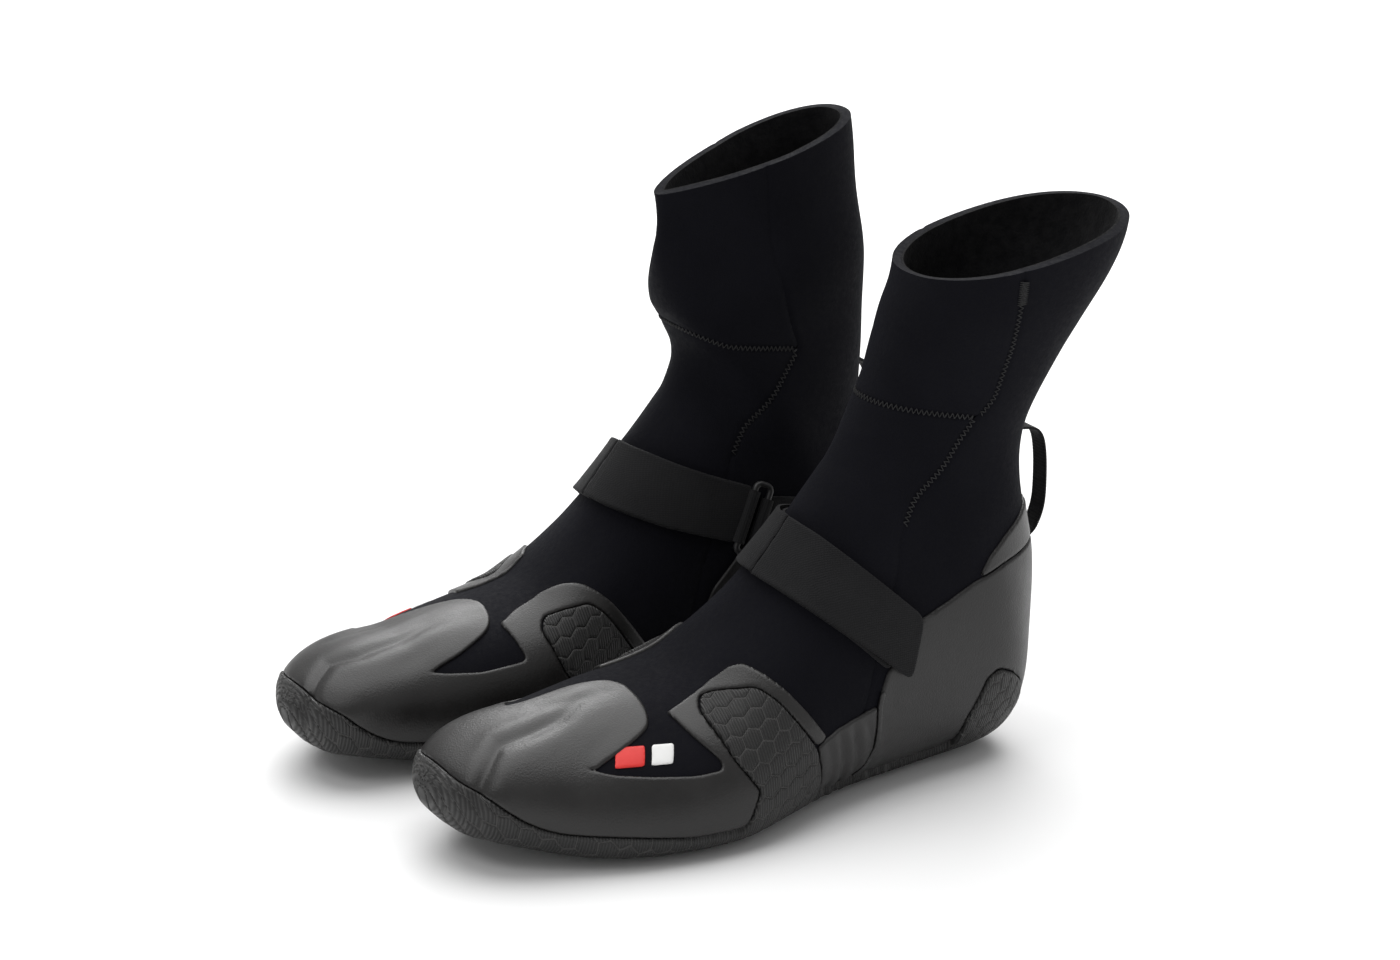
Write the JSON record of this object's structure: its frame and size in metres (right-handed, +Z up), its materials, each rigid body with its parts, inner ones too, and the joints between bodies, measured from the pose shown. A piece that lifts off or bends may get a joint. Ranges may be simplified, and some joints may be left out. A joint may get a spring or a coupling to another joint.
{
  "type": "neoprene boots",
  "caption": "Pair of ankle-high neoprene water boots with hidden split toe, rubber overlay, hook-and-loop instep strap and heel pull loop.",
  "frame": {"origin": "centre of the pair's footprint, on the floor", "axes": "+Z up; toes point along -Y; the wearer's left boot is at +X"},
  "size_m": [0.2374, 0.3542, 0.2729],
  "materials": {
    "neoprene": "black knitted nylon face over foam rubber",
    "lining": "short black plush",
    "footbed": "black foam with a fabric face",
    "outsole_rubber": "moulded, fine ribs inside hexagonal cells",
    "overlay_rubber": "smooth dark grey with a fine satin grain",
    "thread": "black nylon thread",
    "webbing": "ribbed dark grey webbing",
    "pile": "black hook-and-loop pile",
    "ring_plastic": "black moulded plastic",
    "red_print": "flat printed red",
    "white_print": "flat printed white"
  },
  "bodies": {
    "left_boot": {"left_vamp_panel": "neoprene", "left_instep_panel": "neoprene", "left_shaft_front_panel": "neoprene", "left_rear_panel": "neoprene", "left_lining": "lining", "left_insole": "footbed", "left_toe_divider": "neoprene", "left_outsole": "outsole_rubber", "left_toe_overlay": "overlay_rubber", "left_side_rand_outer": "overlay_rubber", "left_side_rand_inner": "overlay_rubber", "left_heel_counter": "overlay_rubber", "left_heel_patch": "overlay_rubber", "left_instep_seam": "thread", "left_shaft_seam": "thread", "left_counter_tape": "thread", "left_emblem_red": "red_print", "left_emblem_white": "white_print", "left_collar_tab": "webbing", "left_strap_base": "webbing", "left_loop_pile": "pile", "left_strap_return": "webbing", "left_strap_ring": "ring_plastic", "left_ring_keeper": "webbing"},
    "left_tab": {"left_strap_tab": "webbing", "left_hook_pile": "pile"},
    "left_loop": {"left_pull_loop": "webbing"},
    "right_boot": {"right_vamp_panel": "neoprene", "right_instep_panel": "neoprene", "right_shaft_front_panel": "neoprene", "right_rear_panel": "neoprene", "right_lining": "lining", "right_insole": "footbed", "right_toe_divider": "neoprene", "right_outsole": "outsole_rubber", "right_toe_overlay": "overlay_rubber", "right_side_rand_outer": "overlay_rubber", "right_side_rand_inner": "overlay_rubber", "right_heel_counter": "overlay_rubber", "right_heel_patch": "overlay_rubber", "right_instep_seam": "thread", "right_shaft_seam": "thread", "right_counter_tape": "thread", "right_emblem_red": "red_print", "right_emblem_white": "white_print", "right_collar_tab": "webbing", "right_strap_base": "webbing", "right_loop_pile": "pile", "right_strap_return": "webbing", "right_strap_ring": "ring_plastic", "right_ring_keeper": "webbing"},
    "right_tab": {"right_strap_tab": "webbing", "right_hook_pile": "pile"},
    "right_loop": {"right_pull_loop": "webbing"}
  },
  "joints": [
    {"name": "left_strap_peel", "type": "hinge", "parent": "left_boot", "child": "left_tab", "pos_m": [0.0625, 0.0055, 0.1178], "axis": [0, -0.72, -0.694], "range_deg": [0, 110]},
    {"name": "left_pull_loop_flop", "type": "hinge", "parent": "left_boot", "child": "left_loop", "pos_m": [0.059, 0.1389, 0.12], "axis": [0, -0.1358, 0.9907], "range_deg": [-20, 20]},
    {"name": "right_strap_peel", "type": "hinge", "parent": "right_boot", "child": "right_tab", "pos_m": [-0.0625, -0.0095, 0.1178], "axis": [0, 0.72, 0.694], "range_deg": [0, 110]},
    {"name": "right_pull_loop_flop", "type": "hinge", "parent": "right_boot", "child": "right_loop", "pos_m": [-0.059, 0.1284, 0.12], "axis": [0, 0.0296, 0.9996], "range_deg": [-20, 20]},
    {"name": "right_boot_lift", "type": "slide", "parent": "left_boot", "child": "right_boot", "axis": [0, 0, 1], "range_m": [0, 0.3]}
  ]
}
